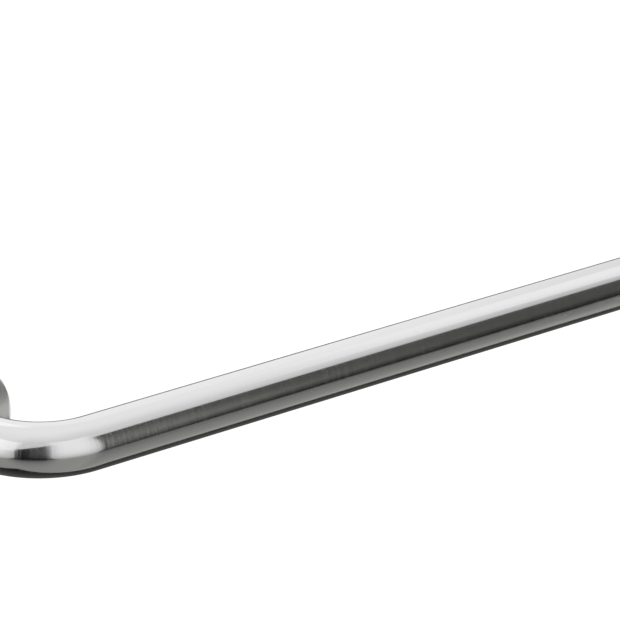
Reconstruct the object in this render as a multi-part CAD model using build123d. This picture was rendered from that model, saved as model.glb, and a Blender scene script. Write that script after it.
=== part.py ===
from build123d import *
from math import sqrt
import os

# Wall-mounted grab bar: a bent stainless tube, welded at each end to a screw flange that a push-fit cover hides.
# Millimetres. The wall is the plane y = 0 and the bar stands out towards -Y, with +X along the grip and +Z up.
# The origin lies on the wall, midway between the two flanges.

# Grip tube
TUBE_OD = 32.0
TUBE_WALL = 1.5
CENTRE_DISTANCE = 600.0
HAND_CLEARANCE = 60.0
BEND_RADIUS = 45.0

# Mounting flanges
FLANGE_THICKNESS = 3.0
FLANGE_BORE_CLEARANCE = 0.1
FLANGE_RIM_WIDTH = 3.75
FLANGE_EDGE_CHAMFER = 0.5
SCREW_COUNT = 3
SCREW_START_ANGLE = 90.0
SCREW_HOLE_D = 6.5
SCREW_HEAD_D = 10.5
COUNTERSINK_ANGLE = 90.0
SCREW_TO_WELD_GAP = 3.25

# Weld beads
WELD_LEG = 2.5
WELD_BULGE = 0.3

# Push-fit covers
COVER_SHEET = 0.8
COVER_CROWN = 2.0
COVER_EDGE_RADIUS = 2.0
COVER_BORE_CLEARANCE = 0.2
COVER_SKIRT_GAP = 0.7
COVER_HEADROOM = 1.7
COVER_WALL_GAP = 0.3
COVER_LIP_TO_WELD = 0.5
COVER_LIP_RADIUS = 0.7
NIB_COUNT = 3
NIB_START_ANGLE = 30.0
NIB_RADIUS = 1.5
NIB_BELOW_FRONT = 1.0
NIB_CLEARANCE = 0.05

# Sizes that follow from the ones above
TUBE_RADIUS = TUBE_OD / 2
TUBE_BORE_RADIUS = TUBE_RADIUS - TUBE_WALL
AXIS_TO_WALL = HAND_CLEARANCE + TUBE_RADIUS
LEG_OFFSET = CENTRE_DISTANCE / 2
SCREW_HEAD_RADIUS = SCREW_HEAD_D / 2
WELD_OUTER_RADIUS = TUBE_RADIUS + WELD_LEG
WELD_TOP = FLANGE_THICKNESS + WELD_LEG
SCREW_CIRCLE_RADIUS = WELD_OUTER_RADIUS + SCREW_TO_WELD_GAP + SCREW_HEAD_RADIUS
FLANGE_RADIUS = SCREW_CIRCLE_RADIUS + SCREW_HEAD_RADIUS + FLANGE_RIM_WIDTH
SKIRT_INNER_RADIUS = FLANGE_RADIUS + COVER_SKIRT_GAP
COVER_RADIUS = SKIRT_INNER_RADIUS + COVER_SHEET
COVER_DEPTH = WELD_TOP + COVER_HEADROOM + COVER_SHEET
COVER_APEX = COVER_DEPTH + COVER_CROWN
COVER_BORE_RADIUS = TUBE_RADIUS + COVER_BORE_CLEARANCE
CROWN_RADIUS = (COVER_RADIUS**2 + COVER_CROWN**2) / (2 * COVER_CROWN)
NIB_HEIGHT = FLANGE_THICKNESS - NIB_BELOW_FRONT
NIB_REACH = COVER_SKIRT_GAP - NIB_CLEARANCE
NIB_CENTRE_RADIUS = SKIRT_INNER_RADIUS - NIB_REACH + NIB_RADIUS

# Heights above the wall are measured along this plane's normal, which points into the room
WALL = Plane.XZ
ON_WALL = (Align.CENTER, Align.CENTER, Align.MIN)


def grip_tube():
    """Straight grip with a bend and a short leg at each end, swept as one tube."""
    path = FilletPolyline(
        (-LEG_OFFSET, 0),
        (-LEG_OFFSET, -AXIS_TO_WALL),
        (LEG_OFFSET, -AXIS_TO_WALL),
        (LEG_OFFSET, 0),
        radius=BEND_RADIUS,
    )
    section = Circle(TUBE_RADIUS) - Circle(TUBE_BORE_RADIUS)
    return sweep(Plane(path @ 0, z_dir=path % 0) * section, path=path)


def mounting_flange():
    """Round plate with a bore for the tube and a circle of countersunk screw holes."""
    with BuildPart(WALL) as plate:
        Cylinder(FLANGE_RADIUS, FLANGE_THICKNESS, align=ON_WALL)
        front_rim = plate.edges().filter_by(GeomType.CIRCLE).group_by(Axis.Y)[0]
        chamfer(front_rim, FLANGE_EDGE_CHAMFER)
        Hole(TUBE_RADIUS + FLANGE_BORE_CLEARANCE)
        with Locations((0, 0, FLANGE_THICKNESS)):
            with PolarLocations(SCREW_CIRCLE_RADIUS, SCREW_COUNT, start_angle=SCREW_START_ANGLE):
                CounterSinkHole(
                    SCREW_HOLE_D / 2,
                    SCREW_HEAD_RADIUS,
                    depth=FLANGE_THICKNESS,
                    counter_sink_angle=COUNTERSINK_ANGLE,
                )
    return plate.part


def weld_bead():
    """Fillet weld all round the tube, on the room side of the flange."""
    toe = (WELD_OUTER_RADIUS, -FLANGE_THICKNESS)
    root = (TUBE_RADIUS, -FLANGE_THICKNESS)
    top = (TUBE_RADIUS, -WELD_TOP)
    outline = Polyline(top, root, toe) + SagittaArc(toe, top, WELD_BULGE)
    return revolve(make_face(outline), axis=Axis.Y)


def cover_outline(inset, base):
    """Half-section of the cover's outside, drawn in by an inset, from a height above the wall up to its crown."""
    radius = COVER_RADIUS - inset
    crown = CROWN_RADIUS - inset
    apex = COVER_APEX - inset
    shoulder = apex - crown + sqrt(crown**2 - radius**2)
    sides = Polyline((0, -apex), (0, -base), (radius, -base), (radius, -shoulder))
    outline = make_face(sides + RadiusArc((radius, -shoulder), (0, -apex), crown))
    edge = outline.vertices().sort_by_distance((radius, -shoulder))[0]
    return fillet(edge, COVER_EDGE_RADIUS - inset)


def collar_section(radius, base):
    """Half-section of a plain cylinder about the leg's axis, from a height above the wall up to the crown."""
    return Pos(0, -COVER_APEX) * Rectangle(radius, COVER_APEX - base, align=(Align.MIN, Align.MIN))


def cover():
    """Crowned cover of drawn sheet, with a turned-in lip at the tube and pressed nibs that grip the flange's rim."""
    outside = cover_outline(0, COVER_WALL_GAP)
    lip = collar_section(COVER_BORE_RADIUS + COVER_SHEET, WELD_TOP + COVER_LIP_TO_WELD) & outside
    section = outside - cover_outline(COVER_SHEET, 0) + lip - collar_section(COVER_BORE_RADIUS, 0)
    mouth = section.vertices().sort_by_distance((COVER_BORE_RADIUS, -COVER_APEX))[0]
    sheet = revolve(fillet(mouth, COVER_LIP_RADIUS), axis=Axis.Y)
    form = revolve(outside, axis=Axis.Y)
    for place in PolarLocations(NIB_CENTRE_RADIUS, NIB_COUNT, start_angle=NIB_START_ANGLE):
        centre = WALL * Pos(0, 0, NIB_HEIGHT) * place
        sheet += centre * Sphere(NIB_RADIUS) & form
        sheet -= centre * Sphere(NIB_RADIUS - COVER_SHEET)
    return sheet


def save(name, shape):
    """Write one piece to its own file."""
    export_step(shape, f"parts/{name}.step")


def main():
    os.makedirs("parts", exist_ok=True)
    save("grip_tube", grip_tube())
    pieces = {
        "mounting_flange": mounting_flange(),
        "weld_bead": weld_bead(),
        "cover": cover(),
    }
    for side, offset in (("left", -LEG_OFFSET), ("right", LEG_OFFSET)):
        for name, shape in pieces.items():
            save(f"{side}_{name}", Pos(offset, 0, 0) * shape)


main()
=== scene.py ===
from functools import partial
from math import asin, cos, degrees, pi, radians, sin, sqrt, tau
from typing import NamedTuple

import bpy
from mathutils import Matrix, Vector


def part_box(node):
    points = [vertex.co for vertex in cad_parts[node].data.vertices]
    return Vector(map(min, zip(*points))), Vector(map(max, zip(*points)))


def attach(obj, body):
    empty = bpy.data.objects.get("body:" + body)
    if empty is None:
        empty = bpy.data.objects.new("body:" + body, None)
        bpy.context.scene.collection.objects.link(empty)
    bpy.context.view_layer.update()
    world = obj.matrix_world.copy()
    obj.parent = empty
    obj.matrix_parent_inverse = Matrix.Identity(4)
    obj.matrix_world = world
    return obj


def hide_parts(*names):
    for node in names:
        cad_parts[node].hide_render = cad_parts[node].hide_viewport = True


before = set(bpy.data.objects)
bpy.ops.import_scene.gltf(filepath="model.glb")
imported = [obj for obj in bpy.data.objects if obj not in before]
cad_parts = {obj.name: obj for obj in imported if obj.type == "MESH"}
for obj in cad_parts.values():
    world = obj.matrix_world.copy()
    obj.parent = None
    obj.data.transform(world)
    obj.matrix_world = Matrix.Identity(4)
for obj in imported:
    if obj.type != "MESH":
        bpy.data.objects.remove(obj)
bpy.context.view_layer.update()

# Metres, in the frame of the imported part: the wall is the plane y = 0, +X runs along the grip and +Z is up.
# The angles named below are in degrees, and light levels are shares of white.


class Side(NamedTuple):
    """One side of a studio card, with the card's light level at the side's low and top end.

    Place, low and top are angles or distances, as the surface that the card lies on asks.
    """

    place: float
    low: float
    top: float
    low_level: float
    top_level: float


class Shade(NamedTuple):
    """A soft shade on the table before a flag: its middle, its width, its level and how it fades."""

    azimuth: float
    half_width: float
    level: float
    falloff: float


def foot_of(side, rise, low_level):
    """The side of a card that stands below another card, with its low end raised above the table's rim."""
    return Side(side.place, HORIZON + rise, side.low, low_level, side.low_level)


# Grip tube, with its overall sizes taken from the frame
TUBE_LOW, TUBE_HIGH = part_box("grip_tube")
TUBE_RADIUS = (TUBE_HIGH.z - TUBE_LOW.z) / 2
TUBE_WALL = 0.0015
BEND_RADIUS = 0.045
LEG_OFFSET = TUBE_HIGH.x - TUBE_RADIUS
AXIS_TO_WALL = -TUBE_LOW.y - TUBE_RADIUS
CORNER = Vector((-LEG_OFFSET, -AXIS_TO_WALL, 0))
ROUND_STEPS = 128
BEND_STEPS = 48
LEG_STEPS = 14
GRIP_STEPS = 250
SHARP_EDGE_ANGLE = 40
TUBE_MAP = "along_and_round"

# Satin finish of the tube
TUBE_COLOUR = 0.80
TUBE_COLOUR_SPREAD = 0.015
TUBE_ROUGHNESS = 0.123
TUBE_ROUGHNESS_SPREAD = 0.05
TUBE_ANISOTROPY = 0.3
TUBE_HAIRLINE_DEPTH = 0.000003

# Hairlines of the brushed pieces, and plain noise
HAIRLINE_WIDTH = 0.00035
HAIRLINE_LENGTH = 0.03
HAIRLINE_DETAIL = 1.0
HAIRLINE_BROAD_SHARE = 0.3
HAIRLINE_CONTRAST = 4.0
PLAIN_DETAIL = 2.0
NOISE_MIDDLE = 0.5

# Satin finish of the covers
COVER_COLOUR = 0.84
COVER_COLOUR_SPREAD = 0.015
COVER_ROUGHNESS = 0.33
COVER_ROUGHNESS_SPREAD = 0.02
COVER_ANISOTROPY = 0.9
COVER_HAIRLINE_DEPTH = 0.000005
COVER_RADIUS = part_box("left_cover")[1].z
QUARTER_TURN = 0.25

# Dull mill finish of the flanges, with a heat tint next to the weld
PLATE_COLOURS = (0.58, 0.72)
PLATE_ROUGHNESS = (0.35, 0.55)
PLATE_GRAIN = 0.002
PLATE_GRAIN_DETAIL = 4.0
PLATE_GRAIN_DEPTH = 0.00001
HEAT_TINT = (1.0, 0.86, 0.64)
HEAT_TINT_WIDTH = 0.007

# Weld metal, laid in overlapping ripples
WELD_COLOURS = (0.50, 0.64)
WELD_ROUGHNESS = (0.3, 0.45)
WELD_TINT = (1.0, 0.98, 0.94)
WELD_RIPPLES = 60
WELD_RIPPLE_DEPTH = 0.0002
WELD_UNEVENNESS = 2.5

# Camera
VIEW_AZIMUTH = 38.3345
VIEW_ELEVATION = 21.2065
VIEW_DISTANCE = 1.95268
AIM_LEFT_OF_MIDDLE = 0.09595
AIM_ABOVE_GRIP = 0.04256
SENSOR_WIDTH = 36.0
FOCAL_LENGTH = 192.571

# Plain light: an even fill, one broad lamp and a pale floor that shows white
WHITE = 1.0
FILL_LEVEL = 0.5
LAMP_LEVEL = 0.5
LAMP_SPREAD = 60
FLOOR_COLOUR = 0.9
FLOOR_TOP_UP = 0.15
FLOOR_DEPTH = 1.0
FLOOR_REACH = 40.0

# Studio cards stand on a dome about the bar's left corner, or lie on the table and the walls round it.
# On the dome, azimuth 0 is straight in front of the corner and +90 is to its left.
DOME_RADIUS = 3.1
OUTER_DOME_RADIUS = 3.2
TABLE_DEPTH = 0.95
TABLE_EDGE = sqrt(DOME_RADIUS**2 - TABLE_DEPTH**2)
HORIZON = -degrees(asin(TABLE_DEPTH / DOME_RADIUS))
CARD_ROWS = 12
CARD_COLUMNS = 24
CARD_MAP = "card"
NEUTRAL = (1.0, 1.0, 1.0)
WARM = (1.0, 1.0, 0.96)
DARK_WARM = (1.0, 1.0, 0.93)
ZENITH = 90
FULL_TURN = 360

# Softbox, with a dark frame on its right
SOFTBOX_LEFT = Side(place=28.7, low=HORIZON, top=52.3, low_level=0.40, top_level=0.95)
SOFTBOX_RIGHT = SOFTBOX_LEFT._replace(place=-29.2)
SOFTBOX_FOOT_FALLOFF = 5.2
SOFTBOX_SIDE_DROP = 0.34
SOFTBOX_SIDE_FALLOFF = 3.0
SOFTBOX_TOP_EVENNESS = 6.0
CARD_CORNER = 20
CORNER_SOFTNESS = 4
CORNER_LEVEL = 0.05
FRAME_LEFT = SOFTBOX_RIGHT._replace(top=40.9, low_level=0.02, top_level=0.02)
FRAME_RIGHT = Side(place=-32.5, low=HORIZON, top=40.4, low_level=0.12, top_level=0.10)

# Dark flag on the left of the softbox
FLAG_FALLOFF = 3.0
LEFT_FLAG_END = Side(place=66.6, low=HORIZON, top=20.5, low_level=0.002, top_level=0.030)
LEFT_FLAG_BEND = Side(place=50, low=HORIZON, top=31, low_level=0.014, top_level=0.042)
LEFT_FLAG_EDGE = LEFT_FLAG_BEND._replace(low_level=0.0, top_level=0.086)
LEFT_FLAG_EDGE_END = Side(place=37.8, low=HORIZON, top=36.7, low_level=0.0, top_level=0.06)
LEFT_FLAG_RIM = LEFT_FLAG_EDGE_END._replace(top_level=0.115)
LEFT_FLAG_RIM_END = SOFTBOX_LEFT._replace(top=41.2, low_level=0.0, top_level=0.125)

# Dark flag on its right, past the frame, with a foot that the table's rim shows under
FOOT_TOP = 3
FOOT_RISE = 1.0
RIGHT_FLAG_START = FRAME_RIGHT._replace(low=FOOT_TOP, low_level=0.20, top_level=0.108)
RIGHT_FLAG_BEND = Side(place=-39, low=FOOT_TOP, top=39.1, low_level=0.094, top_level=0.075)
RIGHT_FLAG_WAIST = Side(place=-54, low=FOOT_TOP, top=31, low_level=0.059, top_level=0.092)
RIGHT_FLAG_END = Side(place=-100, low=FOOT_TOP, top=6, low_level=0.04, top_level=0.06)
RIGHT_FOOT_START = foot_of(RIGHT_FLAG_START, rise=0, low_level=0.005)
RIGHT_FOOT_BEND = foot_of(RIGHT_FLAG_BEND, rise=0.4, low_level=0.005)
RIGHT_FOOT_WAIST = foot_of(RIGHT_FLAG_WAIST, FOOT_RISE, low_level=0.0)
RIGHT_FOOT_FAR = RIGHT_FOOT_WAIST._replace(low_level=0.3)
RIGHT_FOOT_END = foot_of(RIGHT_FLAG_END, FOOT_RISE, RIGHT_FOOT_FAR.low_level)

# White walls past the flags
WALL_END = 115
WALL_WAIST = 14
WALL_FOOT_FALLOFF = 1.6
LEFT_FOOT_END = Side(place=WALL_END, low=HORIZON, top=WALL_WAIST, low_level=0.46, top_level=1.10)
LEFT_FOOT_BEND = LEFT_FOOT_END._replace(place=84, top_level=0.98)
LEFT_FOOT_START = LEFT_FOOT_END._replace(place=LEFT_FLAG_END.place, low_level=0.42, top_level=0.62)
LEFT_WALL_END = Side(place=WALL_END, low=WALL_WAIST, top=49.3, low_level=1.33, top_level=1.18)
LEFT_WALL_START = LEFT_WALL_END._replace(place=LEFT_FLAG_END.place, low_level=0.90, top_level=1.00)
RIGHT_WALL_START = Side(place=-67, low=0, top=51, low_level=0.91, top_level=0.91)
RIGHT_WALL_FADE = RIGHT_WALL_START._replace(place=-88, low_level=1.02, top_level=1.02)
RIGHT_WALL_END = RIGHT_WALL_FADE._replace(place=-WALL_END)

# Dimmer band and ceiling above them
BAND_LEFT = Side(place=LEFT_FLAG_END.place, low=20, top=47, low_level=0.67, top_level=0.69)
BAND_RIGHT = BAND_LEFT._replace(place=RIGHT_WALL_START.place, low_level=0.375, top_level=0.785)
CEILING_FALLOFF = 1.25
CEILING_LEFT = Side(place=150, low=BAND_LEFT.top, top=ZENITH, low_level=0.90, top_level=0.95)
CEILING_LEFT_FADE = CEILING_LEFT._replace(place=85, low_level=0.83)
CEILING_LEFT_MIDDLE = CEILING_LEFT._replace(place=55, low_level=0.655)
CEILING_RIGHT_MIDDLE = CEILING_LEFT._replace(place=-47, low_level=0.68)
CEILING_RIGHT_FADE = CEILING_LEFT._replace(place=RIGHT_WALL_FADE.place, low_level=0.92)
CEILING_BACK_EDGE = CEILING_RIGHT_FADE._replace(low=RIGHT_WALL_FADE.top)
CEILING_BACK_EDGE_END = CEILING_BACK_EDGE._replace(place=-WALL_END, low_level=0.95)
CEILING_BACK = CEILING_BACK_EDGE_END._replace(low=46)
CEILING_BACK_END = CEILING_LEFT._replace(place=CEILING_LEFT.place - FULL_TURN, low=38, low_level=0.92)

# Wall past the right end of the bar, round the line of its axis: 0 degrees is towards the back and 90 is up
END_WALL_DISTANCE = 2.0
END_WALL_UPPER = Side(place=67, low=0.3, top=1.75, low_level=0.86, top_level=0.86)
END_WALL_LOWER = END_WALL_UPPER._replace(place=4)
END_RIM_UPPER = END_WALL_UPPER._replace(low=END_WALL_UPPER.top, top=2.45, top_level=WHITE)
END_RIM_LOWER = END_RIM_UPPER._replace(place=END_WALL_LOWER.place)

# Brighter panel high up behind the bar, and a low wall far behind it that is dark at its foot
REAR_PANEL_LEFT = Side(place=-151.5, low=20, top=51.5, low_level=1.15, top_level=1.15)
REAR_PANEL_RIGHT = REAR_PANEL_LEFT._replace(place=-185)
BACK_WALL_DISTANCE = 6.0
BACK_WALL_LEFT = Side(place=2.0, low=-TABLE_DEPTH, top=0.38, low_level=0.05, top_level=0.95)
BACK_WALL_RIGHT = BACK_WALL_LEFT._replace(place=8.0, top=1.06, top_level=0.10)

# Grey table below the bar: the low ends of its sides are at its rim and the top ends under the bar
TABLE_FAR_REACH = 0.31
UNDER_BAR = 0.01
OVERLAY_LIFT = 0.01
TABLE_LEFT = Side(place=120, low=TABLE_EDGE, top=UNDER_BAR, low_level=0.30, top_level=0.28)
TABLE_MIDDLE = TABLE_LEFT._replace(place=0, top_level=0.29)
TABLE_RIGHT = TABLE_LEFT._replace(place=-120, low=TABLE_EDGE + TABLE_FAR_REACH, top_level=0.485)
LEFT_SHADE = Shade(azimuth=48.5, half_width=10, level=0.025, falloff=1.65)
RIGHT_SHADE = Shade(azimuth=-47.5, half_width=11.5, level=0.134, falloff=0.65)
SHADE_SOFTNESS = 23

# Dark back of the table, with a straight front edge
BACK_EDGE_START = -0.105
BACK_EDGE_SLOPE = 0.03
BACK_LEFT_END = Side(place=-0.57, low=0, top=0.75, low_level=0.003, top_level=0.038)
BACK_LEFT_BEND = BACK_LEFT_END._replace(place=0.2, low_level=0.026, top_level=0.088)
BACK_BEND = BACK_LEFT_BEND._replace(top_level=0.09)
BACK_RIGHT_END = BACK_LEFT_END._replace(place=6.0, low_level=0.038, top_level=0.11)
FAR_LEFT = Side(
    place=BACK_LEFT_END.place,
    low=BACK_LEFT_END.top,
    top=BACK_WALL_DISTANCE,
    low_level=0.09,
    top_level=0.05,
)
FAR_RIGHT = FAR_LEFT._replace(place=BACK_RIGHT_END.place, low_level=0.10)

# White board that lies on the table to the right, with soft sides
BOARD_LEFT_END = Side(place=-62, low=2.2, top=TABLE_EDGE, low_level=0.15, top_level=0.15)
BOARD_LEFT = Side(place=-66, low=2.0, top=TABLE_EDGE, low_level=4.3, top_level=4.3)
BOARD_RIGHT = BOARD_LEFT._replace(place=-75, low=1.9)
BOARD_RIGHT_END = BOARD_LEFT_END._replace(place=-84, low=BOARD_RIGHT.low)


def grey(level):
    """Colour tuple of a plain grey."""
    return (level, level, level, 1)


class Nodes:
    """Shorthand for building one node tree."""

    def __init__(self, owner):
        owner.use_nodes = True
        self.tree = owner.node_tree
        self.tree.nodes.clear()

    def add(self, kind, settings=None, **inputs):
        """Adds a node, sets its properties, and links or sets its inputs by name."""
        node = self.tree.nodes.new(kind)
        for key, value in (settings or {}).items():
            setattr(node, key, value)
        for key, value in inputs.items():
            self.feed(node.inputs[key.replace("_", " ")], value)
        return node

    def feed(self, socket, value):
        """Links a socket to another node's socket, or sets its value."""
        if isinstance(value, bpy.types.NodeSocket):
            self.tree.links.new(value, socket)
        else:
            socket.default_value = value

    def math(self, operation, first, second=0.0, clamp=False):
        """One math node's result."""
        node = self.add("ShaderNodeMath", {"operation": operation, "use_clamp": clamp})
        self.feed(node.inputs[0], first)
        self.feed(node.inputs[1], second)
        return node.outputs[0]

    def blend(self, share, first, second):
        """A number that goes from one value to another as the share goes from 0 to 1."""
        node = self.add("ShaderNodeMix", {"data_type": "FLOAT"}, Factor=share, A=first, B=second)
        return node.outputs[0]

    def blend_colours(self, share, first, second):
        """A colour that goes from one to another as the share goes from 0 to 1."""
        node = self.add("ShaderNodeMix", {"data_type": "RGBA"}, Factor=share)
        colours = [socket for socket in node.inputs if socket.type == "RGBA"]
        for socket, colour in zip(colours, (first, second)):
            self.feed(socket, colour)
        return next(socket for socket in node.outputs if socket.type == "RGBA")

    def vary(self, share, middle, spread):
        """A number that varies by a spread about its middle value, as the share goes from 0 to 1."""
        return self.blend(share, middle - spread, middle + spread)

    def ease(self, share, falloff):
        """A share that rises fast at first and then levels off, the more so the higher the falloff."""
        rest = self.math("POWER", self.math("SUBTRACT", 1.0, share, clamp=True), falloff)
        return self.math("SUBTRACT", 1.0, rest)

    def step(self, value, start, end):
        """0 up to the start, 1 past the end, and a smooth rise between them."""
        smooth = {"interpolation_type": "SMOOTHSTEP"}
        node = self.add("ShaderNodeMapRange", smooth, Value=value, From_Min=start, From_Max=end)
        return node.outputs[0]

    def noise(self, vector, scale, detail=PLAIN_DETAIL):
        """A noise texture's value."""
        return self.add("ShaderNodeTexNoise", Vector=vector, Scale=scale, Detail=detail).outputs["Fac"]

    def sharpen(self, noise, contrast):
        """Noise with its differences from the middle made stronger."""
        away = self.math("MULTIPLY", self.math("SUBTRACT", noise, NOISE_MIDDLE), contrast)
        return self.math("ADD", away, NOISE_MIDDLE, clamp=True)

    def tinted(self, shade, tint=NEUTRAL):
        """A shade of grey, tinted."""
        red, green, blue = [self.math("MULTIPLY", shade, part) for part in tint]
        return self.add("ShaderNodeCombineColor", Red=red, Green=green, Blue=blue).outputs[0]

    def round_leg(self):
        """Distance from the nearer leg's axis, and the angle round it."""
        place = self.add("ShaderNodeTexCoord").outputs["Object"]
        split = self.add("ShaderNodeSeparateXYZ", Vector=place).outputs
        sideways = self.math("SUBTRACT", self.math("ABSOLUTE", split["X"]), LEG_OFFSET)
        flat = self.add("ShaderNodeCombineXYZ", X=sideways, Y=0.0, Z=split["Z"]).outputs[0]
        reach = self.add("ShaderNodeVectorMath", {"operation": "LENGTH"})
        self.feed(reach.inputs[0], flat)
        return reach.outputs["Value"], self.math("ARCTAN2", split["Z"], sideways)

    def hairlines(self, across, angle, radius):
        """Fine and broad noise, drawn out into lines that run round an axis at a radius."""
        stretch = radius * HAIRLINE_WIDTH / HAIRLINE_LENGTH
        sideways = self.math("MULTIPLY", self.math("COSINE", angle), stretch)
        upward = self.math("MULTIPLY", self.math("SINE", angle), stretch)
        brushed = self.add("ShaderNodeCombineXYZ", X=across, Y=sideways, Z=upward).outputs[0]
        fine = self.noise(brushed, 1 / HAIRLINE_WIDTH, HAIRLINE_DETAIL)
        broad = self.noise(brushed, HAIRLINE_BROAD_SHARE / HAIRLINE_WIDTH)
        return self.sharpen(fine, HAIRLINE_CONTRAST), broad

    def bump(self, height, depth):
        """Surface direction over a bumpy height."""
        return self.add("ShaderNodeBump", Strength=1.0, Distance=depth, Height=height).outputs[0]

    def seen_directly(self):
        """1 for camera, glossy and transmission rays, 0 for the rest."""
        path = self.add("ShaderNodeLightPath").outputs
        glossy = self.math("ADD", path["Is Camera Ray"], path["Is Glossy Ray"])
        return self.math("ADD", glossy, path["Is Transmission Ray"], clamp=True)

    def finish(self, kind, socket):
        """Links the result to the tree's output."""
        output = self.add(f"ShaderNodeOutput{kind}")
        self.tree.links.new(socket, output.inputs["Surface"])


def new_material(name):
    """An empty material and its node builder."""
    material = bpy.data.materials.new(name)
    return material, Nodes(material)


def link_object(name, mesh, material):
    """Puts a mesh in the scene under a name, with its material."""
    piece = bpy.data.objects.new(name, mesh)
    bpy.context.collection.objects.link(piece)
    mesh.materials.append(material)
    return piece


# Grip tube

def axis_stations():
    """Places along the tube's axis, wall to wall, each with its heading and distance from the start."""
    leg = AXIS_TO_WALL - BEND_RADIUS
    grip = 2 * (LEG_OFFSET - BEND_RADIUS)
    quarter = BEND_RADIUS * pi / 2
    runs = (
        (leg, 0, LEG_STEPS),
        (quarter, pi / 2, BEND_STEPS),
        (grip, 0, GRIP_STEPS),
        (quarter, pi / 2, BEND_STEPS),
        (leg, 0, LEG_STEPS),
    )
    place, heading, distance = Vector((-LEG_OFFSET, 0, 0)), -pi / 2, 0
    stations = [(place, heading, distance)]
    for length, turn, steps in runs:
        for step in range(1, steps + 1):
            part, turned = length * step / steps, turn * step / steps
            chord = part * sin(turned / 2) / (turned / 2) if turned else part
            middle = heading + turned / 2
            there = place + chord * Vector((cos(middle), sin(middle), 0))
            stations.append((there, heading + turned, distance + part))
        place, heading, distance = stations[-1]
    return stations


def tube_ring(place, heading, radius):
    """Points round the tube's axis, starting on the outside of its bends."""
    outward = Vector((sin(heading), -cos(heading), 0))
    upward = Vector((0, 0, 1))
    angles = [tau * step / ROUND_STEPS for step in range(ROUND_STEPS)]
    return [place + radius * (cos(angle) * outward + sin(angle) * upward) for angle in angles]


def grip_tube_mesh():
    """Tube wall as a closed mesh of even quads, with a map of distance along the tube and turn round it."""
    stations = axis_stations()
    length = stations[-1][2]
    outside = [(*station, TUBE_RADIUS) for station in stations]
    inside = [(*station, TUBE_RADIUS - TUBE_WALL) for station in stations]
    rings = outside + inside[::-1]
    points = [point for place, heading, _, radius in rings for point in tube_ring(place, heading, radius)]
    faces = []
    corners = []
    for near in range(len(rings)):
        far = (near + 1) % len(rings)
        for step in range(ROUND_STEPS):
            quad = ((near, step), (near, step + 1), (far, step + 1), (far, step))
            faces.append([ring * ROUND_STEPS + turn % ROUND_STEPS for ring, turn in quad])
            corners += [(rings[ring][2] / length, turn / ROUND_STEPS) for ring, turn in quad]
    mesh = bpy.data.meshes.new("grip_tube_skin")
    mesh.from_pydata(points, [], faces)
    layer = mesh.uv_layers.new(name=TUBE_MAP)
    for loop, place in zip(layer.data, corners):
        loop.uv = place
    mesh.shade_smooth()
    mesh.set_sharp_from_angle(angle=radians(SHARP_EDGE_ANGLE))
    return mesh, length


def satin_tube_material(length):
    """Satin stainless tube with hairline brushing that runs round it."""
    material, nodes = new_material("satin_stainless_tube")
    place = nodes.add("ShaderNodeUVMap", {"uv_map": TUBE_MAP}).outputs["UV"]
    split = nodes.add("ShaderNodeSeparateXYZ", Vector=place).outputs
    along = nodes.math("MULTIPLY", split["X"], length)
    angle = nodes.math("MULTIPLY", split["Y"], tau)
    fine, broad = nodes.hairlines(along, angle, TUBE_RADIUS)
    tangent = nodes.add("ShaderNodeTangent", {"direction_type": "UV_MAP", "uv_map": TUBE_MAP})
    metal = nodes.add(
        "ShaderNodeBsdfPrincipled",
        Base_Color=nodes.tinted(nodes.vary(broad, TUBE_COLOUR, TUBE_COLOUR_SPREAD)),
        Metallic=1.0,
        Roughness=nodes.vary(fine, TUBE_ROUGHNESS, TUBE_ROUGHNESS_SPREAD),
        Anisotropic=TUBE_ANISOTROPY,
        Tangent=tangent.outputs[0],
        Normal=nodes.bump(fine, TUBE_HAIRLINE_DEPTH),
    )
    nodes.finish("Material", metal.outputs[0])
    return material


def make_grip_tube():
    """The grip tube's skin, in place of its solid."""
    mesh, length = grip_tube_mesh()
    tube = link_object("grip_tube_skin", mesh, satin_tube_material(length))
    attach(tube, "root")
    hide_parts("grip_tube")


# Covers, flanges and welds keep their solids

def satin_cover_material():
    """Satin sheet, brushed in circles about the leg."""
    material, nodes = new_material("satin_stainless_sheet")
    reach, angle = nodes.round_leg()
    fine, broad = nodes.hairlines(reach, angle, COVER_RADIUS)
    tangent = nodes.add("ShaderNodeTangent", {"direction_type": "RADIAL", "axis": "Y"})
    metal = nodes.add(
        "ShaderNodeBsdfPrincipled",
        Base_Color=nodes.tinted(nodes.vary(broad, COVER_COLOUR, COVER_COLOUR_SPREAD)),
        Metallic=1.0,
        Roughness=nodes.vary(fine, COVER_ROUGHNESS, COVER_ROUGHNESS_SPREAD),
        Anisotropic=COVER_ANISOTROPY,
        Anisotropic_Rotation=QUARTER_TURN,
        Tangent=tangent.outputs[0],
        Normal=nodes.bump(fine, COVER_HAIRLINE_DEPTH),
    )
    nodes.finish("Material", metal.outputs[0])
    return material


def plate_material():
    """Dull mill finish of the screw flanges, with a straw tint where the weld heated them."""
    material, nodes = new_material("plain_stainless_plate")
    place = nodes.add("ShaderNodeTexCoord").outputs["Object"]
    grain = nodes.noise(place, 1 / PLATE_GRAIN, PLATE_GRAIN_DETAIL)
    reach, _ = nodes.round_leg()
    shade = nodes.blend(grain, *PLATE_COLOURS)
    plain = nodes.tinted(shade)
    heated = nodes.tinted(shade, HEAT_TINT)
    cool = nodes.step(reach, TUBE_RADIUS, TUBE_RADIUS + HEAT_TINT_WIDTH)
    metal = nodes.add(
        "ShaderNodeBsdfPrincipled",
        Base_Color=nodes.blend_colours(cool, heated, plain),
        Metallic=1.0,
        Roughness=nodes.blend(grain, *PLATE_ROUGHNESS),
        Normal=nodes.bump(grain, PLATE_GRAIN_DEPTH),
    )
    nodes.finish("Material", metal.outputs[0])
    return material


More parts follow.
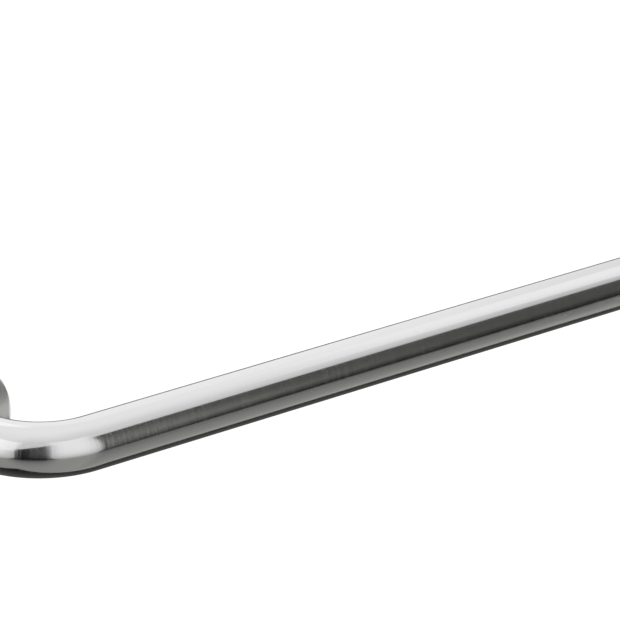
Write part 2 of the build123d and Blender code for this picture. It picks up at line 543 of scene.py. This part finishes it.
def weld_material():
    """Weld metal with the ripples of its run round the tube."""
    material, nodes = new_material("weld_metal")
    place = nodes.add("ShaderNodeTexCoord").outputs["Object"]
    uneven = nodes.noise(place, 1 / PLATE_GRAIN)
    _, angle = nodes.round_leg()
    run = nodes.math("MULTIPLY", angle, WELD_RIPPLES)
    drift = nodes.math("MULTIPLY", uneven, WELD_UNEVENNESS)
    ripple = nodes.math("SINE", nodes.math("ADD", run, drift))
    metal = nodes.add(
        "ShaderNodeBsdfPrincipled",
        Base_Color=nodes.tinted(nodes.blend(uneven, *WELD_COLOURS), WELD_TINT),
        Metallic=1.0,
        Roughness=nodes.blend(uneven, *WELD_ROUGHNESS),
        Normal=nodes.bump(ripple, WELD_RIPPLE_DEPTH),
    )
    nodes.finish("Material", metal.outputs[0])
    return material


def dress_nodes():
    """Gives the CAD nodes that stay their materials."""
    finishes = {
        "cover": satin_cover_material(),
        "mounting_flange": plate_material(),
        "weld_bead": weld_material(),
    }
    for side in ("left", "right"):
        for name, material in finishes.items():
            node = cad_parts[f"{side}_{name}"]
            node.data.materials.clear()
            node.data.materials.append(material)


# Surfaces that the studio cards lie on

def direction(azimuth, elevation):
    """Unit vector that points away from the bar, at an azimuth and an elevation."""
    turn, rise = radians(azimuth), radians(elevation)
    return Vector((-sin(turn) * cos(rise), -cos(turn) * cos(rise), sin(rise)))


def dome_place(azimuth, elevation, radius=DOME_RADIUS):
    """A place on the dome."""
    return CORNER + radius * direction(azimuth, elevation)


def outer_dome_place(azimuth, elevation):
    """A place on a slightly larger dome, behind the flags."""
    return dome_place(azimuth, elevation, OUTER_DOME_RADIUS)


def table_place(azimuth, reach):
    """A place on the table below the bar, a distance out from under its left corner."""
    turn = radians(azimuth)
    return CORNER + Vector((-sin(turn) * reach, -cos(turn) * reach, -TABLE_DEPTH))


def board_place(azimuth, reach):
    """A place just above the table."""
    return table_place(azimuth, reach) + Vector((0, 0, OVERLAY_LIFT))


def end_wall_place(turn, reach):
    """A place on the wall past the right end of the bar, a distance out from the line of its axis."""
    return CORNER + Vector((END_WALL_DISTANCE, reach * cos(radians(turn)), reach * sin(radians(turn))))


def back_wall_place(sideways, height):
    """A place on the low wall behind the bar."""
    return CORNER + Vector((sideways, BACK_WALL_DISTANCE, height))


def back_place(sideways, depth):
    """A place on the dark back of the table, a distance behind its straight front edge."""
    edge = BACK_EDGE_START + BACK_EDGE_SLOPE * sideways
    return CORNER + Vector((sideways, edge + depth, OVERLAY_LIFT - TABLE_DEPTH))


# Light levels of the cards

def graded_level(nodes, across, up, left, right):
    """A level that grades evenly between the card's corners."""
    low = nodes.blend(across, left.low_level, right.low_level)
    top = nodes.blend(across, left.top_level, right.top_level)
    return nodes.blend(up, low, top)


def eased_level(nodes, across, up, left, right, falloff):
    """A level that changes fast at the card's low edge and then levels off."""
    return graded_level(nodes, across, nodes.ease(up, falloff), left, right)


def past_corner(nodes, from_side, from_foot):
    """1 past a card's rounded lower corner and 0 inside, from the degrees to its side and to its foot."""
    straight = CARD_CORNER - CORNER_SOFTNESS
    aside = nodes.math("MAXIMUM", nodes.math("SUBTRACT", straight, from_side), 0.0)
    below = nodes.math("MAXIMUM", nodes.math("SUBTRACT", straight, from_foot), 0.0)
    squares = [nodes.math("MULTIPLY", length, length) for length in (aside, below)]
    distance = nodes.math("SQRT", nodes.math("ADD", *squares))
    return nodes.step(distance, straight, CARD_CORNER)


def softbox_level(nodes, across, up, left, right):
    """The softbox's level, which drops towards its foot and its sides, with dark lower corners."""
    level = eased_level(nodes, across, up, left, right, SOFTBOX_FOOT_FALLOFF)
    sideways = nodes.math("ABSOLUTE", nodes.blend(across, -1.0, 1.0))
    below_top = nodes.math("SUBTRACT", 1.0, nodes.math("POWER", up, SOFTBOX_TOP_EVENNESS))
    near_side = nodes.math("POWER", sideways, SOFTBOX_SIDE_FALLOFF)
    side_drop = nodes.math("MULTIPLY", near_side, SOFTBOX_SIDE_DROP)
    lit = nodes.math("SUBTRACT", 1.0, nodes.math("MULTIPLY", side_drop, below_top))
    half_width = (left.place - right.place) / 2
    from_side = nodes.math("MULTIPLY", nodes.math("SUBTRACT", 1.0, sideways), half_width)
    from_foot = nodes.math("MULTIPLY", up, left.top - left.low)
    past = past_corner(nodes, from_side, from_foot)
    return nodes.blend(past, nodes.math("MULTIPLY", level, lit), CORNER_LEVEL)


def wall_foot_level(nodes, across, up, left, right):
    """The level at the foot of the left wall, next to the flag, with a dark lower corner."""
    level = eased_level(nodes, across, up, left, right, WALL_FOOT_FALLOFF)
    from_side = nodes.math("MULTIPLY", nodes.math("SUBTRACT", 1.0, across), left.place - right.place)
    from_foot = nodes.math("MULTIPLY", up, right.top - right.low)
    past = past_corner(nodes, from_side, from_foot)
    return nodes.blend(past, level, CORNER_LEVEL)


def table_level(nodes, across, up, left, right, shade):
    """The table's level, with a soft shade before a flag that fades towards the bar."""
    azimuth = nodes.blend(across, left.place, right.place)
    away = nodes.math("ABSOLUTE", nodes.math("SUBTRACT", azimuth, shade.azimuth))
    clear = nodes.step(away, shade.half_width, shade.half_width + SHADE_SOFTNESS)
    rim = nodes.blend(clear, shade.level, nodes.blend(across, left.low_level, right.low_level))
    near = nodes.blend(across, left.top_level, right.top_level)
    return nodes.blend(nodes.ease(up, shade.falloff), rim, near)


# Studio

def card_light(name, left, right, tint, level_rule):
    """Plain light, at a level that depends on the place on the card."""
    material, nodes = new_material(name)
    place = nodes.add("ShaderNodeUVMap", {"uv_map": CARD_MAP}).outputs["UV"]
    split = nodes.add("ShaderNodeSeparateXYZ", Vector=place).outputs
    level = level_rule(nodes, split["X"], split["Y"], left, right)
    light = nodes.add("ShaderNodeEmission", Color=(*tint, 1), Strength=level)
    nodes.finish("Material", light.outputs[0])
    material.cycles.emission_sampling = "NONE"
    return material


def between(first, second, share):
    """The value a share of the way from the first to the second."""
    return first + (second - first) * share


def hang(name, place, left, right, tint=NEUTRAL, level_rule=graded_level):
    """Sets up a card between two sides, on a surface, that only reflections see."""
    points = []
    maps = []
    for row in range(CARD_ROWS + 1):
        for column in range(CARD_COLUMNS + 1):
            across, up = column / CARD_COLUMNS, row / CARD_ROWS
            low = between(left.low, right.low, across)
            top = between(left.top, right.top, across)
            points.append(place(between(left.place, right.place, across), between(low, top, up)))
            maps.append((across, up))
    faces = []
    for row in range(CARD_ROWS):
        for column in range(CARD_COLUMNS):
            first = row * (CARD_COLUMNS + 1) + column
            above = first + CARD_COLUMNS + 1
            faces.append((first, first + 1, above + 1, above))
    mesh = bpy.data.meshes.new(name)
    mesh.from_pydata(points, [], faces)
    layer = mesh.uv_layers.new(name=CARD_MAP)
    for loop, corner in zip(layer.data, mesh.loops):
        loop.uv = maps[corner.vertex_index]
    panel = link_object(name, mesh, card_light(name, left, right, tint, level_rule))
    panel.visible_camera = False
    panel.visible_diffuse = False
    panel.visible_transmission = False
    panel.visible_volume_scatter = False
    panel.visible_shadow = False


def hang_softbox_and_flags():
    """The softbox, its frame and a dark flag on each side of it."""
    flag_rule = partial(eased_level, falloff=FLAG_FALLOFF)
    hang("softbox", dome_place, SOFTBOX_LEFT, SOFTBOX_RIGHT, level_rule=softbox_level)
    hang("softbox_frame", dome_place, FRAME_LEFT, FRAME_RIGHT)
    hang("left_flag", dome_place, LEFT_FLAG_END, LEFT_FLAG_BEND)
    hang("left_flag_edge", dome_place, LEFT_FLAG_EDGE, LEFT_FLAG_EDGE_END, level_rule=flag_rule)
    hang("left_flag_rim", dome_place, LEFT_FLAG_RIM, LEFT_FLAG_RIM_END, level_rule=flag_rule)
    hang("right_flag_edge", dome_place, RIGHT_FLAG_START, RIGHT_FLAG_BEND, DARK_WARM)
    hang("right_flag", dome_place, RIGHT_FLAG_BEND, RIGHT_FLAG_WAIST, DARK_WARM)
    hang("right_flag_far", dome_place, RIGHT_FLAG_WAIST, RIGHT_FLAG_END, DARK_WARM)
    hang("right_foot_edge", dome_place, RIGHT_FOOT_START, RIGHT_FOOT_BEND, DARK_WARM)
    hang("right_foot", dome_place, RIGHT_FOOT_BEND, RIGHT_FOOT_WAIST, DARK_WARM)
    hang("right_foot_far", dome_place, RIGHT_FOOT_FAR, RIGHT_FOOT_END, level_rule=flag_rule)


def hang_walls_and_ceiling():
    """Walls past the flags, the band and ceiling above them, and what stands behind and past the bar."""
    foot_rule = partial(eased_level, falloff=WALL_FOOT_FALLOFF)
    ceiling_rule = partial(eased_level, falloff=CEILING_FALLOFF)
    ceilings = (
        ("ceiling_left", CEILING_LEFT, CEILING_LEFT_FADE),
        ("ceiling_left_fade", CEILING_LEFT_FADE, CEILING_LEFT_MIDDLE),
        ("ceiling_middle", CEILING_LEFT_MIDDLE, CEILING_RIGHT_MIDDLE),
        ("ceiling_right_fade", CEILING_RIGHT_MIDDLE, CEILING_RIGHT_FADE),
        ("ceiling_back_edge", CEILING_BACK_EDGE, CEILING_BACK_EDGE_END),
        ("ceiling_back", CEILING_BACK, CEILING_BACK_END),
    )
    hang("left_wall_foot", dome_place, LEFT_FOOT_END, LEFT_FOOT_BEND, level_rule=foot_rule)
    hang("left_wall_foot_edge", dome_place, LEFT_FOOT_BEND, LEFT_FOOT_START, level_rule=wall_foot_level)
    hang("left_wall", dome_place, LEFT_WALL_END, LEFT_WALL_START)
    hang("right_wall_edge", outer_dome_place, RIGHT_WALL_START, RIGHT_WALL_FADE)
    hang("right_wall", outer_dome_place, RIGHT_WALL_FADE, RIGHT_WALL_END)
    hang("band", outer_dome_place, BAND_LEFT, BAND_RIGHT)
    for name, left, right in ceilings:
        hang(name, outer_dome_place, left, right, level_rule=ceiling_rule)
    hang("end_wall", end_wall_place, END_WALL_UPPER, END_WALL_LOWER)
    hang("end_wall_rim", end_wall_place, END_RIM_UPPER, END_RIM_LOWER)
    hang("rear_panel", dome_place, REAR_PANEL_LEFT, REAR_PANEL_RIGHT)
    hang("back_wall", back_wall_place, BACK_WALL_LEFT, BACK_WALL_RIGHT, WARM)


def lay_table():
    """The grey table with its dark back, and the white board on it."""
    left_rule = partial(table_level, shade=LEFT_SHADE)
    right_rule = partial(table_level, shade=RIGHT_SHADE)
    hang("table_left", table_place, TABLE_LEFT, TABLE_MIDDLE, WARM, left_rule)
    hang("table_right", table_place, TABLE_MIDDLE, TABLE_RIGHT, WARM, right_rule)
    hang("table_back_left", back_place, BACK_LEFT_END, BACK_LEFT_BEND, DARK_WARM)
    hang("table_back", back_place, BACK_BEND, BACK_RIGHT_END, DARK_WARM)
    hang("table_far", back_place, FAR_LEFT, FAR_RIGHT, DARK_WARM)
    hang("board_left_side", board_place, BOARD_LEFT_END, BOARD_LEFT)
    hang("board", board_place, BOARD_LEFT, BOARD_RIGHT)
    hang("board_right_side", board_place, BOARD_RIGHT, BOARD_RIGHT_END)


def make_world():
    """White surroundings for the camera and reflections, and an even fill for the rest."""
    world = bpy.data.worlds.new("studio")
    nodes = Nodes(world)
    strength = nodes.blend(nodes.seen_directly(), FILL_LEVEL, WHITE)
    light = nodes.add("ShaderNodeBackground", Color=grey(WHITE), Strength=strength)
    nodes.finish("World", light.outputs[0])
    world.cycles.sampling_method = "NONE"
    bpy.context.scene.world = world


def floor_material():
    """Pale paint that shows white from above and nothing from below."""
    material, nodes = new_material("floor")
    paint = nodes.add("ShaderNodeBsdfDiffuse", Color=grey(FLOOR_COLOUR))
    strength = nodes.math("MULTIPLY", nodes.seen_directly(), FLOOR_TOP_UP)
    glow = nodes.add("ShaderNodeEmission", Strength=strength)
    both = nodes.add("ShaderNodeAddShader")
    nodes.feed(both.inputs[0], paint.outputs[0])
    nodes.feed(both.inputs[1], glow.outputs[0])
    underside = nodes.add("ShaderNodeNewGeometry").outputs["Backfacing"]
    clear = nodes.add("ShaderNodeBsdfTransparent")
    result = nodes.add("ShaderNodeMixShader", Fac=underside)
    nodes.feed(result.inputs[1], both.outputs[0])
    nodes.feed(result.inputs[2], clear.outputs[0])
    nodes.finish("Material", result.outputs[0])
    material.cycles.emission_sampling = "NONE"
    return material


def make_floor():
    """Wide floor below the bar, which keeps its soft shadow."""
    ends = ((-1, -1), (1, -1), (1, 1), (-1, 1))
    corners = [(x * FLOOR_REACH, y * FLOOR_REACH, -FLOOR_DEPTH) for x, y in ends]
    mesh = bpy.data.meshes.new("floor")
    mesh.from_pydata(corners, [], [range(len(corners))])
    link_object("floor", mesh, floor_material())


def make_lamp():
    """One broad soft lamp from above."""
    lamp = bpy.data.lights.new("softbox_above", "SUN")
    lamp.energy = LAMP_LEVEL * pi
    lamp.angle = radians(LAMP_SPREAD)
    holder = bpy.data.objects.new("softbox_above", lamp)
    holder.visible_glossy = False
    bpy.context.collection.objects.link(holder)


def make_camera():
    """Camera at the photograph's viewing angle."""
    camera = bpy.data.cameras.new("camera")
    camera.sensor_width = SENSOR_WIDTH
    camera.lens = FOCAL_LENGTH
    holder = bpy.data.objects.new("camera", camera)
    aim = Vector((-AIM_LEFT_OF_MIDDLE, -AXIS_TO_WALL, AIM_ABOVE_GRIP))
    holder.location = aim + VIEW_DISTANCE * direction(VIEW_AZIMUTH, VIEW_ELEVATION)
    holder.rotation_euler = (pi / 2 - radians(VIEW_ELEVATION), 0, -radians(VIEW_AZIMUTH))
    bpy.context.collection.objects.link(holder)
    bpy.context.scene.camera = holder


make_grip_tube()
dress_nodes()
make_world()
make_floor()
make_lamp()
hang_softbox_and_flags()
hang_walls_and_ceiling()
lay_table()
make_camera()
bpy.context.scene.view_settings.view_transform = "Standard"
